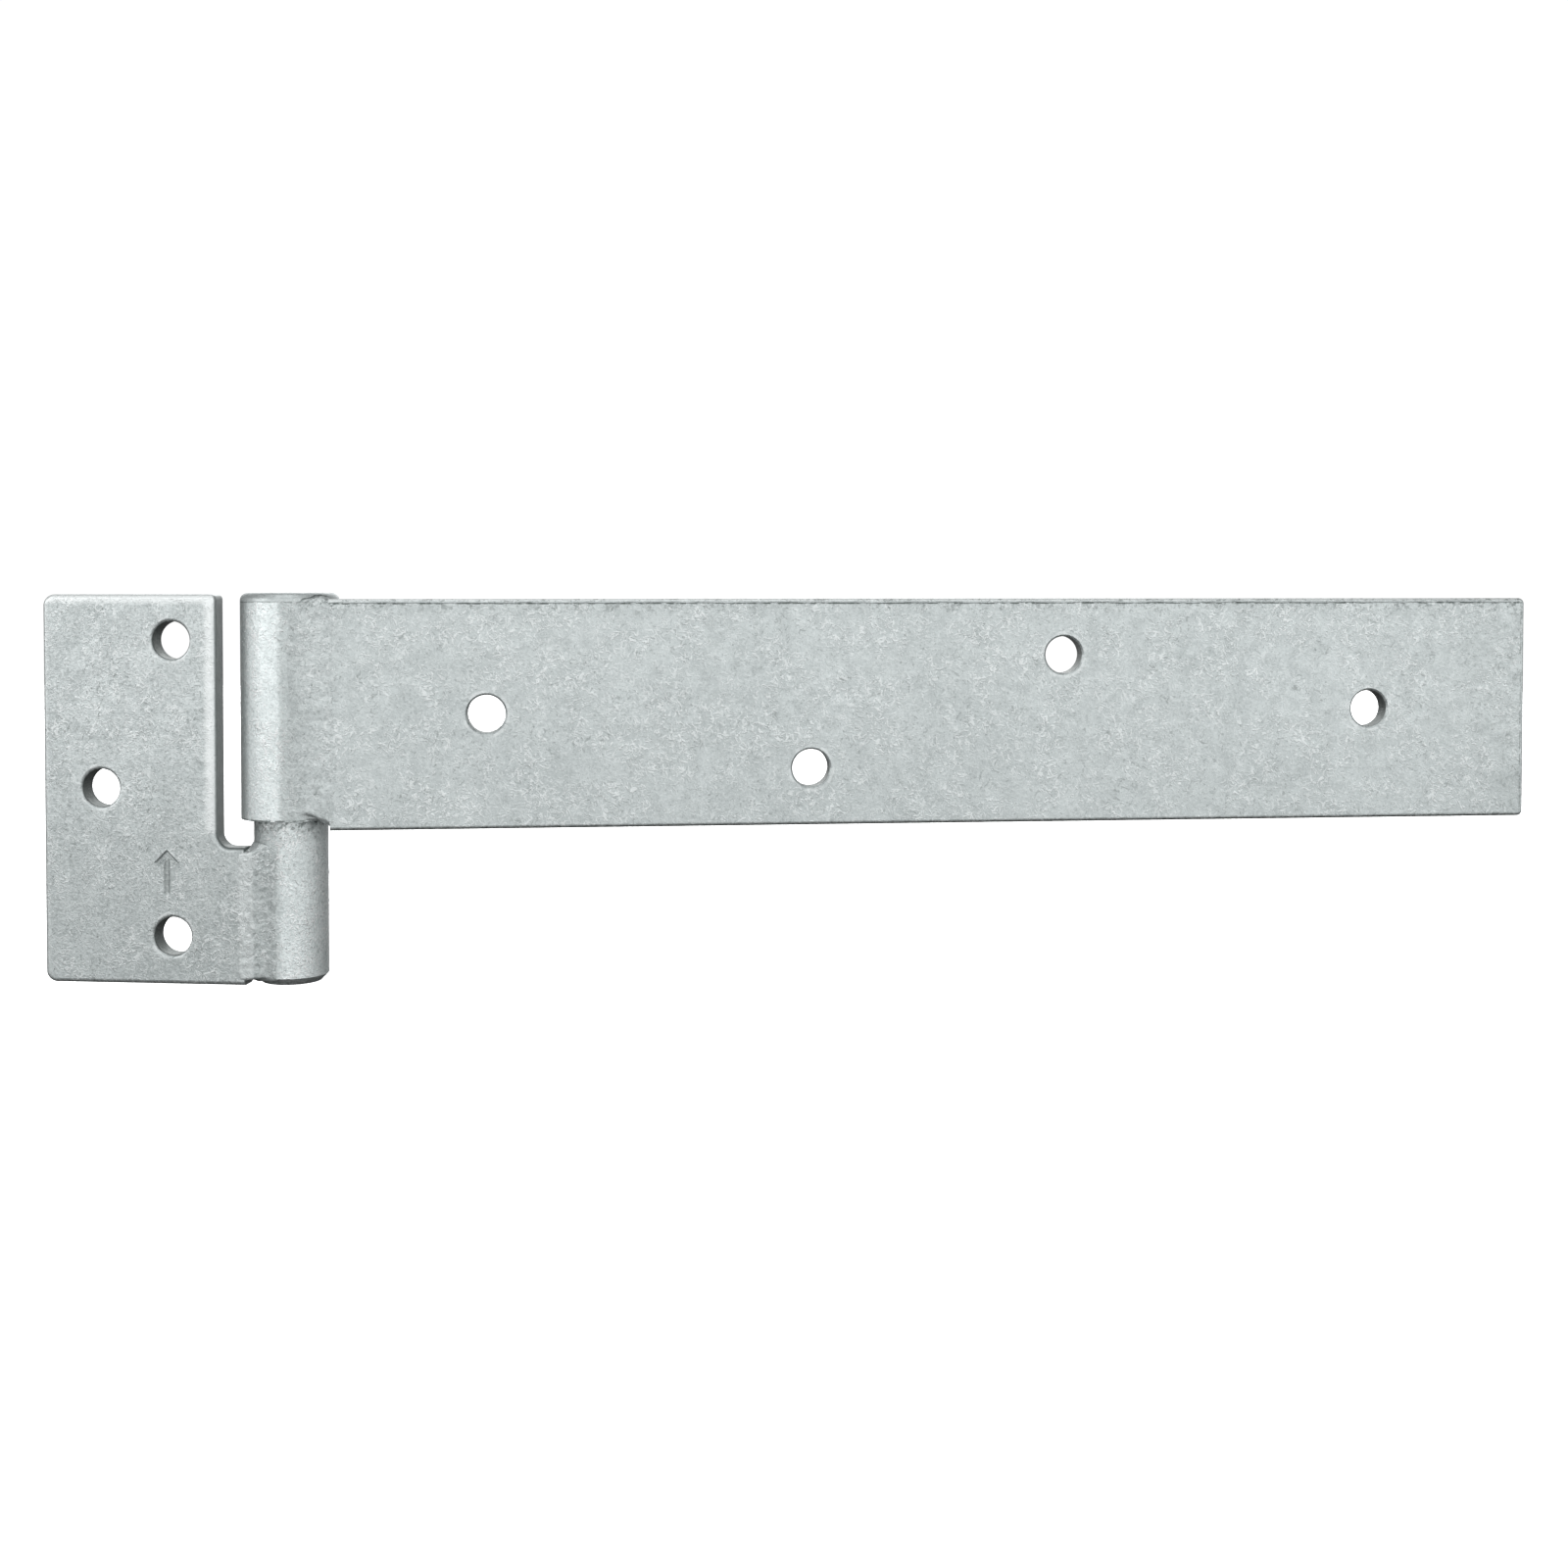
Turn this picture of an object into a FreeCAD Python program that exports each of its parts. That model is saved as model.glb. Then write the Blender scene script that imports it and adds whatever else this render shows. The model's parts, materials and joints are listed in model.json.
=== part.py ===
import FreeCAD
import Part
import os
import Sketcher

# Right-hand T hinge, lift-off type.  A bar welded to the frame plate carries a
# closed barrel, which is welded to a long strap.
#
# Frame: the pin axis is Z, through the origin.  Z = 0 is the lower end of the bar.
# The frame plate lies to the left of the axis, parallel to XZ, and its mounting
# face looks along -Y.  The strap lies to the right, turned from flat by rest_angle.

DIMENSIONS = [
    ("bar_diameter", 16.0, "round bar that carries the barrel"),
    ("bar_height", 83.0, "length of the bar"),
    ("bar_chamfer", 1.6, "chamfer on both ends of the bar"),
    ("barrel_diameter", 21.3, "outer diameter of the barrel, half-inch pipe"),
    ("bore_clearance", 0.08, "radial play between bar and barrel"),
    ("barrel_bottom", 36.0, "height of the barrel's lower end"),
    ("barrel_top", 83.3, "height of the barrel's upper end, under the cap"),
    ("bore_chamfer", 0.6, "chamfer on the mouth of the bore"),
    ("cap_thickness", 2.0, "disc that closes the barrel"),
    ("cap_rounding", 1.7, "rounded upper edge of the disc"),
    ("strap_reach", 279.0, "pin axis to the free end of the strap"),
    ("strap_bottom", 34.0, "height of the strap's lower edge"),
    ("strap_width", 50.0, "height of the flat bar"),
    ("strap_thickness", 5.0, "thickness of the flat bar"),
    ("strap_rounding", 0.8, "rolled long edges of the flat bar"),
    ("strap_corner", 1.2, "radius of the corners at the free end"),
    ("strap_first_hole", 43.0, "pin axis to the first hole"),
    ("strap_outer_pitch", 71.0, "first to second hole, and third to fourth"),
    ("strap_inner_pitch", 57.0, "second to third hole"),
    ("strap_hole_offset", 12.4, "second and third hole, off the centreline"),
    ("strap_hole_bevel", 0.4, "bevel on the rim of the strap's holes"),
    ("hole_diameter", 8.3, "screw holes of both leaves"),
    ("plate_height", 85.0, "height of the frame plate"),
    ("plate_reach", 53.0, "pin axis to the outer edge of the plate"),
    ("plate_thickness", 5.0, "thickness of the frame plate"),
    ("plate_corner", 2.5, "radius of the plate's outer corners"),
    ("plate_rollover", 1.0, "rolled-over edges on the punched side of the plate"),
    ("plate_rounding", 0.4, "rounding of the edges on the back of the plate"),
    ("hole_rollover", 0.7, "rolled-over rim of the plate's holes"),
    ("notch_edge", 14.0, "pin axis to the upright edge beside the barrel"),
    ("notch_corner", 3.0, "inner corner of the notch"),
    ("notch_top_corner", 1.2, "upper corner beside the barrel"),
    ("arm_height", 30.0, "height of the arm that reaches the bar"),
    ("plate_hole_inner", 24.0, "pin axis to the upper and lower hole"),
    ("plate_hole_outer", 40.0, "pin axis to the middle hole"),
    ("plate_hole_low", 10.5, "height of the lower hole"),
    ("plate_hole_high", 75.0, "height of the upper hole"),
    ("mark_reach", 25.2, "pin axis to the stamped arrow"),
    ("mark_bottom", 19.5, "height of the arrow's lower end"),
    ("mark_height", 10.0, "length of the arrow"),
    ("mark_width", 6.0, "width of the arrow's head"),
    ("mark_stroke", 1.5, "width of the arrow's strokes"),
    ("mark_depth", 0.35, "depth of the stamping"),
    ("mark_slope", 50.0, "slope of the stamping's walls, in degrees"),
    ("root_gap", 0.5, "gap at the root of both welds, filled with weld"),
    ("weld_front_toe", 2.2, "pin axis to where the front bead meets the round"),
    ("weld_leg", 2.8, "leg of the fillet on the back"),
    ("weld_recess", 0.7, "how far a bead stops short of its edges"),
    ("rest_angle", 12.0, "angle of the strap from flat, in degrees"),
]

doc = FreeCAD.newDocument("t_hinge")


def make_sheet():
    """The sheet of driving dimensions: alias, number, meaning."""
    sheet = doc.addObject("Spreadsheet::Sheet", "Sizes")
    for row, (alias, number, meaning) in enumerate(DIMENSIONS, start=1):
        sheet.set("A%d" % row, alias)
        sheet.set("B%d" % row, str(number))
        sheet.set("C%d" % row, meaning)
        sheet.setAlias("B%d" % row, alias)
    doc.recompute()
    return sheet


sizes = make_sheet()


def value(expression):
    """The number that an expression over the sheet gives now."""
    result = sizes.evalExpression(expression)
    return float(getattr(result, "Value", result))


def new_body(label):
    body = doc.addObject("PartDesign::Body", label)
    body.Label = label
    return body


def new_sketch(body, name, role, offset="0"):
    """A sketch on one of the body's own origin planes, moved out by offset."""
    plane = next(p for p in body.Origin.OriginFeatures if p.Role == role)
    sketch = body.newObject("Sketcher::SketchObject", name)
    sketch.AttachmentSupport = [(plane, "")]
    sketch.MapMode = "FlatFace"
    sketch.setExpression("AttachmentOffset.Base.z", offset)
    return sketch


def pin_point(sketch, geometry, end, x, y):
    """Hold a point of the sketch at the place that two expressions give."""
    for kind, expression in (("DistanceX", x), ("DistanceY", y)):
        held = Sketcher.Constraint(kind, -1, 1, geometry, end, value(expression))
        index = sketch.addConstraint(held)
        sketch.setExpression("Constraints[%d]" % index, expression)


def draw_outline(sketch, corners, arcs=None):
    """A closed outline: corners are pairs of expressions, and arcs gives the
    expression of the radius for each edge about the sketch's origin."""
    arcs = arcs or {}
    points = [FreeCAD.Vector(value(x), value(y), 0) for x, y in corners]
    count = len(points)
    for index, start in enumerate(points):
        finish = points[(index + 1) % count]
        if index in arcs:
            middle = (start + finish).normalize() * value(arcs[index])
            sketch.addGeometry(Part.Arc(start, middle, finish))
        else:
            sketch.addGeometry(Part.LineSegment(start, finish))
    for index, (x, y) in enumerate(corners):
        clockwise = index in arcs and points[index].cross(points[(index + 1) % count]).z < 0
        first = 2 if clockwise else 1
        before = (index - 1) % count
        turned = before in arcs and points[before].cross(points[index]).z < 0
        last = 1 if turned else 2
        sketch.addConstraint(Sketcher.Constraint("Coincident", before, last, index, first))
        pin_point(sketch, index, first, x, y)
    for index, radius in arcs.items():
        held = Sketcher.Constraint("Radius", index, value(radius))
        constraint = sketch.addConstraint(held)
        sketch.setExpression("Constraints[%d]" % constraint, radius)


def draw_circles(sketch, centres, diameter):
    """Circles of one diameter, each at a pair of expressions."""
    for index, (x, y) in enumerate(centres):
        centre = FreeCAD.Vector(value(x), value(y), 0)
        up = FreeCAD.Vector(0, 0, 1)
        sketch.addGeometry(Part.Circle(centre, up, value(diameter) / 2))
        pin_point(sketch, index, 3, x, y)
        held = Sketcher.Constraint("Diameter", index, value(diameter))
        constraint = sketch.addConstraint(held)
        sketch.setExpression("Constraints[%d]" % constraint, diameter)


def pad(body, name, sketch, length):
    feature = body.newObject("PartDesign::Pad", name)
    feature.Profile = sketch
    feature.setExpression("Length", length)
    doc.recompute()
    return feature


def pocket(body, name, sketch, depth=None):
    """Cut against the sketch's normal, through everything if no depth is given."""
    before = body.Shape.Volume
    feature = body.newObject("PartDesign::Pocket", name)
    feature.Profile = sketch
    if depth is None:
        feature.Type = "ThroughAll"
    else:
        feature.setExpression("Length", depth)
    doc.recompute()
    if body.Shape.Volume >= before:
        raise RuntimeError("%s cuts nothing" % name)
    return feature


def edges_where(shape, wanted):
    return ["Edge%d" % (n + 1) for n, edge in enumerate(shape.Edges) if wanted(edge)]


def dress(body, kind, name, size, wanted):
    """A Fillet or Chamfer on the edges of the body's tip that wanted picks."""
    base = body.Tip
    picked = edges_where(base.Shape, wanted)
    if not picked:
        raise RuntimeError("%s finds no edge" % name)
    feature = body.newObject("PartDesign::" + kind, name)
    feature.Base = (base, picked)
    feature.setExpression("Radius" if kind == "Fillet" else "Size", size)
    doc.recompute()
    return feature


def is_upright_to_leaf(edge):
    """True for a straight edge that runs through the thickness of a leaf."""
    if edge.Curve.TypeId != "Part::GeomLine":
        return False
    return abs(abs(edge.tangentAt(edge.FirstParameter).y) - 1) < 1e-6


def near(edge, x, z):
    """True if the edge's middle has this X and Z, in the body's own frame."""
    middle = edge.CenterOfMass
    return abs(middle.x - x) < 0.01 and abs(middle.z - z) < 0.01


def is_on_face(edge, y):
    """True if the edge lies in the plane of a leaf's face at this Y."""
    return edge.BoundBox.YLength < 0.01 and abs(edge.BoundBox.YMin - y) < 0.01


def is_at(edge, x):
    """True if the edge runs up or down at this X."""
    return edge.BoundBox.XLength < 0.01 and abs(edge.BoundBox.XMin - x) < 0.01


def is_rim(edge, y_faces, radius):
    """True for the circle of a hole of this radius on one of the leaf's faces."""
    if edge.Curve.TypeId != "Part::GeomCircle":
        return False
    on_face = any(abs(edge.CenterOfMass.y - y) < 0.01 for y in y_faces)
    return on_face and abs(edge.Curve.Radius - radius) < 0.01


BAR_RADIUS = "Sizes.bar_diameter / 2"
BARREL_RADIUS = "Sizes.barrel_diameter / 2"
BORE_DIAMETER = "Sizes.bar_diameter + 2 * Sizes.bore_clearance"
PLATE_BACK = "Sizes.bar_diameter / 2 - Sizes.plate_thickness"
STRAP_BACK = "Sizes.barrel_diameter / 2 - Sizes.strap_thickness"
PLATE_BUTT = "(sqrt((%s) ^ 2 - (%s) ^ 2) + Sizes.root_gap)" % (BAR_RADIUS, PLATE_BACK)
STRAP_BUTT = "(sqrt((%s) ^ 2 - (%s) ^ 2) + Sizes.root_gap)" % (BARREL_RADIUS, STRAP_BACK)


def make_frame_plate():
    """Flat plate with a notch for the barrel and an arm that reaches the bar."""
    body = new_body("frame_plate")
    outline = new_sketch(body, "plate_outline", "XZ_Plane", PLATE_BACK)
    draw_outline(outline, [
        ("-Sizes.plate_reach", "0"),
        ("-" + PLATE_BUTT, "0"),
        ("-" + PLATE_BUTT, "Sizes.arm_height"),
        ("-Sizes.notch_edge", "Sizes.arm_height"),
        ("-Sizes.notch_edge", "Sizes.plate_height"),
        ("-Sizes.plate_reach", "Sizes.plate_height"),
    ])
    pad(body, "plate_blank", outline, "Sizes.plate_thickness")

    reach, height = value("Sizes.plate_reach"), value("Sizes.plate_height")
    notch, arm = value("Sizes.notch_edge"), value("Sizes.arm_height")
    butt = value(PLATE_BUTT)
    dress(body, "Fillet", "plate_corners", "Sizes.plate_corner",
          lambda e: is_upright_to_leaf(e) and (near(e, -reach, 0) or near(e, -reach, height)))
    dress(body, "Fillet", "notch_inner_corner", "Sizes.notch_corner",
          lambda e: is_upright_to_leaf(e) and near(e, -notch, arm))
    dress(body, "Fillet", "notch_upper_corner", "Sizes.notch_top_corner",
          lambda e: is_upright_to_leaf(e) and near(e, -notch, height))

    front, back = -value(BAR_RADIUS), -value(PLATE_BACK)
    dress(body, "Fillet", "plate_front_edges", "Sizes.plate_rollover",
          lambda e: is_on_face(e, front) and not is_at(e, -butt))
    dress(body, "Fillet", "plate_back_edges", "Sizes.plate_rounding",
          lambda e: is_on_face(e, back) and not is_at(e, -butt))

    holes = new_sketch(body, "plate_hole_centres", "XZ_Plane", BAR_RADIUS)
    middle = "(Sizes.plate_hole_low + Sizes.plate_hole_high) / 2"
    draw_circles(holes, [
        ("-Sizes.plate_hole_inner", "Sizes.plate_hole_high"),
        ("-Sizes.plate_hole_outer", middle),
        ("-Sizes.plate_hole_inner", "Sizes.plate_hole_low"),
    ], "Sizes.hole_diameter")
    pocket(body, "plate_holes", holes)
    dress(body, "Fillet", "plate_hole_rims", "Sizes.hole_rollover",
          lambda e: is_rim(e, (front,), value("Sizes.hole_diameter") / 2))

    arrow = new_sketch(body, "arrow_outline", "XZ_Plane", BAR_RADIUS)
    tip = "Sizes.mark_bottom + Sizes.mark_height"
    half, bevel = "Sizes.mark_stroke / 2", "Sizes.mark_stroke * sqrt(0.5)"
    crotch = tip + " - Sizes.mark_stroke * (sqrt(2) + 0.5)"
    wing_x, wing_y = "Sizes.mark_width / 2", tip + " - Sizes.mark_width / 2"
    centre = "-Sizes.mark_reach"
    right_side = [
        (half, "Sizes.mark_bottom"),
        (half, crotch),
        (wing_x + " - " + bevel, wing_y + " - " + bevel),
        (wing_x, wing_y),
    ]
    outline = [("%s + (%s)" % (centre, x), y) for x, y in right_side]
    outline.append((centre, tip))
    outline += [("%s - (%s)" % (centre, x), y) for x, y in reversed(right_side)]
    draw_outline(arrow, outline)
    stamped = pocket(body, "stamped_arrow", arrow, "Sizes.mark_depth")
    stamped.setExpression("TaperAngle", "-Sizes.mark_slope * 1 deg")
    return body


def make_pivot_bar():
    """Round bar, chamfered at both ends."""
    body = new_body("pivot_bar")
    section = new_sketch(body, "bar_section", "XY_Plane")
    draw_circles(section, [("0", "0")], "Sizes.bar_diameter")
    pad(body, "bar_length", section, "Sizes.bar_height")
    dress(body, "Chamfer", "bar_ends", "Sizes.bar_chamfer",
          lambda e: e.Curve.TypeId == "Part::GeomCircle")
    return body


def make_barrel():
    """Length of pipe with a bevelled mouth."""
    body = new_body("barrel")
    section = new_sketch(body, "pipe_section", "XY_Plane", "Sizes.barrel_bottom")
    draw_circles(section, [("0", "0")], "Sizes.barrel_diameter")
    pad(body, "pipe_length", section, "Sizes.barrel_top - Sizes.barrel_bottom")
    bore = new_sketch(body, "bore_section", "XY_Plane", "Sizes.barrel_top")
    draw_circles(bore, [("0", "0")], BORE_DIAMETER)
    pocket(body, "bore", bore)
    mouth, radius = value("Sizes.barrel_bottom"), value(BORE_DIAMETER) / 2
    dress(body, "Chamfer", "bore_mouth", "Sizes.bore_chamfer",
          lambda e: e.Curve.TypeId == "Part::GeomCircle"
          and abs(e.Curve.Radius - radius) < 0.01 and abs(e.CenterOfMass.z - mouth) < 0.01)
    return body


def make_barrel_cap():
    """Disc that closes the barrel, with a rounded upper edge."""
    body = new_body("barrel_cap")
    section = new_sketch(body, "cap_section", "XY_Plane", "Sizes.barrel_top")
    draw_circles(section, [("0", "0")], "Sizes.barrel_diameter")
    pad(body, "cap_disc", section, "Sizes.cap_thickness")
    top = value("Sizes.barrel_top + Sizes.cap_thickness")
    dress(body, "Fillet", "cap_edge", "Sizes.cap_rounding",
          lambda e: e.Curve.TypeId == "Part::GeomCircle" and abs(e.CenterOfMass.z - top) < 0.01)
    return body


def make_strap_plate():
    """Flat bar with rolled edges and four holes, two of them staggered."""
    body = new_body("strap_plate")
    top = "Sizes.strap_bottom + Sizes.strap_width"
    outline = new_sketch(body, "strap_outline", "XZ_Plane", STRAP_BACK)
    draw_outline(outline, [
        (STRAP_BUTT, "Sizes.strap_bottom"),
        ("Sizes.strap_reach", "Sizes.strap_bottom"),
        ("Sizes.strap_reach", top),
        (STRAP_BUTT, top),
    ])
    pad(body, "strap_blank", outline, "Sizes.strap_thickness")

    end, butt = value("Sizes.strap_reach"), value(STRAP_BUTT)
    low, high = value("Sizes.strap_bottom"), value(top)
    dress(body, "Fillet", "strap_corners", "Sizes.strap_corner",
          lambda e: is_upright_to_leaf(e) and (near(e, end, low) or near(e, end, high)))

    front, back = -value(BARREL_RADIUS), -value(STRAP_BACK)
    dress(body, "Fillet", "strap_edges", "Sizes.strap_rounding",
          lambda e: (is_on_face(e, front) or is_on_face(e, back)) and not is_at(e, butt))

    centreline = "Sizes.strap_bottom + Sizes.strap_width / 2"
    second = "Sizes.strap_first_hole + Sizes.strap_outer_pitch"
    third = second + " + Sizes.strap_inner_pitch"
    fourth = third + " + Sizes.strap_outer_pitch"
    holes = new_sketch(body, "strap_hole_centres", "XZ_Plane", BARREL_RADIUS)
    draw_circles(holes, [
        ("Sizes.strap_first_hole", centreline),
        (second, centreline + " - Sizes.strap_hole_offset"),
        (third, centreline + " + Sizes.strap_hole_offset"),
        (fourth, centreline),
    ], "Sizes.hole_diameter")
    pocket(body, "strap_holes", holes)
    dress(body, "Chamfer", "strap_hole_rims", "Sizes.strap_hole_bevel",
          lambda e: is_rim(e, (front, back), value("Sizes.hole_diameter") / 2))
    return body


def make_weld(label, side, radius, back, butt, bottom, top):
    """Bead that joins a leaf to a round: it fills the groove on the front, runs
    through the root gap and ends in a fillet on the back.  side is -1 or 1."""
    body = new_body(label)
    sign = "-" if side < 0 else ""
    section = new_sketch(body, label + "_section", "XY_Plane", bottom)
    front_toe = "-sqrt((%s) ^ 2 - Sizes.weld_front_toe ^ 2)" % radius
    back_toe = "(-(%s) + Sizes.weld_leg)" % back
    round_back = "sqrt((%s) ^ 2 - %s ^ 2)" % (radius, back_toe)
    draw_outline(section, [
        (sign + butt, "-(%s)" % radius),
        (sign + "Sizes.weld_front_toe", front_toe),
        (sign + round_back, back_toe),
        (sign + "(%s + Sizes.weld_leg)" % butt, "-(%s)" % back),
        (sign + butt, "-(%s)" % back),
    ], arcs={1: radius})
    pad(body, label + "_run", section, "(%s) - (%s)" % (top, bottom))
    return body


def turn_about_pin(body):
    """Turn a body of the moving leaf from flat to its rest angle."""
    axis = FreeCAD.Vector(0, 0, 1)
    turn = FreeCAD.Rotation(axis, value("Sizes.rest_angle"))
    body.Placement = FreeCAD.Placement(FreeCAD.Vector(0, 0, 0), turn)
    body.setExpression("Placement.Rotation.Angle", "Sizes.rest_angle * 1 deg")


frame_plate = make_frame_plate()
pivot_bar = make_pivot_bar()
frame_weld = make_weld("frame_weld", -1, BAR_RADIUS, PLATE_BACK, PLATE_BUTT,
                       "Sizes.weld_recess", "Sizes.arm_height - Sizes.weld_recess")
barrel = make_barrel()
barrel_cap = make_barrel_cap()
strap_plate = make_strap_plate()
barrel_weld = make_weld("barrel_weld", 1, BARREL_RADIUS, STRAP_BACK, STRAP_BUTT,
                        "Sizes.barrel_bottom + Sizes.weld_recess",
                        "Sizes.barrel_top - Sizes.weld_recess")

fixed_leaf = [frame_plate, pivot_bar, frame_weld]
moving_leaf = [barrel, barrel_cap, strap_plate, barrel_weld]
for piece in moving_leaf:
    turn_about_pin(piece)
doc.recompute()

for item in doc.Objects:
    if "Invalid" in item.State or "Error" in item.State:
        raise RuntimeError("%s failed: %s" % (item.Name, item.State))

os.makedirs("parts", exist_ok=True)
for piece in fixed_leaf + moving_leaf:
    shape = piece.Shape
    if shape.isNull() or not shape.isValid() or len(shape.Solids) != 1:
        raise RuntimeError("%s has no good solid" % piece.Label)
    shape.exportStep("parts/%s.step" % piece.Label)
    print("%-12s %9.1f mm3" % (piece.Label, shape.Volume))
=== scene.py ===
import json
import math
import random

import bmesh
import bpy
from mathutils import Euler, Matrix, Vector, noise
from mathutils.geometry import interpolate_bezier


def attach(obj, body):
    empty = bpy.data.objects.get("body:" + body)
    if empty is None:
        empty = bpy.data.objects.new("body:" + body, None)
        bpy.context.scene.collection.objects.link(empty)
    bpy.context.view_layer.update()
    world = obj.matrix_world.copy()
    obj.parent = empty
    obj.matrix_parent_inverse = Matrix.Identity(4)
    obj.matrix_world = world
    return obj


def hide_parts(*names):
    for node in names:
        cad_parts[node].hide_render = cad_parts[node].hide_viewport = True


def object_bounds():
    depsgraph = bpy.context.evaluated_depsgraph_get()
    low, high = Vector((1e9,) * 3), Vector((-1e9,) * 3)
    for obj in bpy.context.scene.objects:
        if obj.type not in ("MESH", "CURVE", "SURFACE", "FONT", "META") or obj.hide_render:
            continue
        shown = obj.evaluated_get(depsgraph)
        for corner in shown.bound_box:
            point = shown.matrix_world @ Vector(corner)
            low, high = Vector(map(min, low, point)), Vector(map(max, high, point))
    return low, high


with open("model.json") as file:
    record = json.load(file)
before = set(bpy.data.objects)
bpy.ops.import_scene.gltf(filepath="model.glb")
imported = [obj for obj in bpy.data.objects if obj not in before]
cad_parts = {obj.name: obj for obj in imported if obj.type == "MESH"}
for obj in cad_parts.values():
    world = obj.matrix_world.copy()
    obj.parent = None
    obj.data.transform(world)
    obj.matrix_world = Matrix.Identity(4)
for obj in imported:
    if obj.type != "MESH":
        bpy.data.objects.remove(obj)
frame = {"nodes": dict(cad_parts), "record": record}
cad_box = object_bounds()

# The looks of a hot-dip galvanised T hinge.  The plates, the bar and the barrel are
# the CAD solids with a zinc material.  The weld beads, their spatter, the rolled lip
# on the strap's upper edge and the zinc pimples are built here.  Shapes and materials
# are worked out in millimetres, and a mesh is turned into metres when it is made.

MM = 0.001
FIXED_LEAF = "frame_leaf"
MOVING_LEAF = "strap_leaf"

# Camera: a 46 mm lens, 43 cm in front of the pin and 15 cm to its right, aimed a little
# down and to the left.
CAMERA_OFFSET = Vector((152.0, -426.3, 86.9)) * MM
CAMERA_YAW = math.radians(5.755)
CAMERA_PITCH = math.radians(-1.508)
CAMERA_LENS = 45.93
CAMERA_SHIFT_UP = -0.093

# Colours are linear.  The bright colour serves pale flecks and strokes and also painted highlights;
# the stain colour serves dark specks and strokes and also painted shade.
ZINC_LIGHT = (0.66, 0.705, 0.705)
ZINC_DARK = (0.47, 0.51, 0.51)
ZINC_BRIGHT = (0.86, 0.89, 0.89)
ZINC_STAIN_AND_SHADE = (0.13, 0.15, 0.145)

# The stroke textures: how far one layer of noise is moved from the last, and the width
# of a stroke in millimetres.
LAYER_SHIFT = Vector((31.0, 17.0, 53.0))
STROKE_WIDTH = 0.42

# The stamped arrow's middle, from the plate's lower left corner, and its reach.
STAMP_MIDDLE = (27.8, 24.5)
STAMP_REACH = 6.5

# A bead's grid: steps across it, steps along its end lines, and the height of a row.
BEAD_COLUMNS = 48
BEAD_END_STEPS = 24
BEAD_ROW = 0.35
# A bead's waves, in millimetres from crest to crest, and their share of its ripple.
SWAY_WAVE, SWAY_SHARE = 2.6, 4.5
FINE_WAVE, FINE_SHARE = 1.1, 1.0
BROAD_WAVE, BROAD_SHARE = 3.5, 0.8
# The share of its section that is left at a bead's very end, how much rougher its back
# is than its front, and the length over which the back is rounded off.
END_SECTION = 0.3
BACK_RIPPLE = 1.6
BACK_END_ROUND = 2.5

# Studio, in metres and watts.  The floor lies a little way below the hinge.
FLOOR_REACH = 3.0
FLOOR_DROP = 0.09
FLOOR_PAINT = (0.9, 0.9, 0.9)
FLOOR_SUN = 4.2
FLOOR_SUN_SPREAD = math.radians(60)
BACKGROUND = (1.0, 1.0, 1.0)
BACKGROUND_STRENGTH = 1.05
TENT_COLOUR = (0.99, 1.0, 1.0)
# The light tent: azimuth, elevation, sharpness and strength of each soft glow in it.
TENT = [
    (-76, 8, 22, 1.10),
    (-25, 8, 14, 1.80),
    (10, 8, 14, 1.45),
    (45, 8, 14, 1.75),
    (80, 8, 14, 1.40),
    (120, 8, 14, 0.60),
    (180, 15, 10, 1.00),
    (-165, 20, 12, 1.60),
    (0, 70, 6, 1.60),
]


# ---------------------------------------------------------------- the frame's sizes

def mount(name):
    return next(m for m in frame["record"]["mounts"] if m["name"] == name)


def leaf_angle():
    """How far the strap is turned about Z from the frame plate, at rest."""
    x, y, _ = mount("gate_face")["axis"]
    return math.atan2(x, -y)


STRAP_TURN = Matrix.Rotation(leaf_angle(), 4, "Z")
NO_TURN = Matrix.Identity(4)


def leaf_box(node, turn=NO_TURN):
    """Lowest and highest corner of a node in millimetres, measured along its leaf."""
    back = turn.inverted()
    points = [back @ v.co / MM for v in frame["nodes"][node].data.vertices]
    low = Vector(min(p[i] for p in points) for i in range(3))
    high = Vector(max(p[i] for p in points) for i in range(3))
    return low, high


def hole_centres(prefix, turn=NO_TURN):
    """Centres of a leaf's holes in millimetres, measured along the leaf, and their radius."""
    found = [m for m in frame["record"]["mounts"] if m["name"].startswith(prefix)]
    centres = [turn.inverted() @ Vector(m["pos_m"]) / MM for m in found]
    return centres, found[0]["dims"]["r_mm"]


def notch_edge():
    """Where the plate's edge beside the barrel runs: its furthest right in the upper half."""
    half_way = leaf_box("frame_plate")[1].z / 2
    points = [v.co / MM for v in frame["nodes"]["frame_plate"].data.vertices]
    return max(p.x for p in points if p.z > half_way)


# ---------------------------------------------------------------- node graphs

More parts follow.
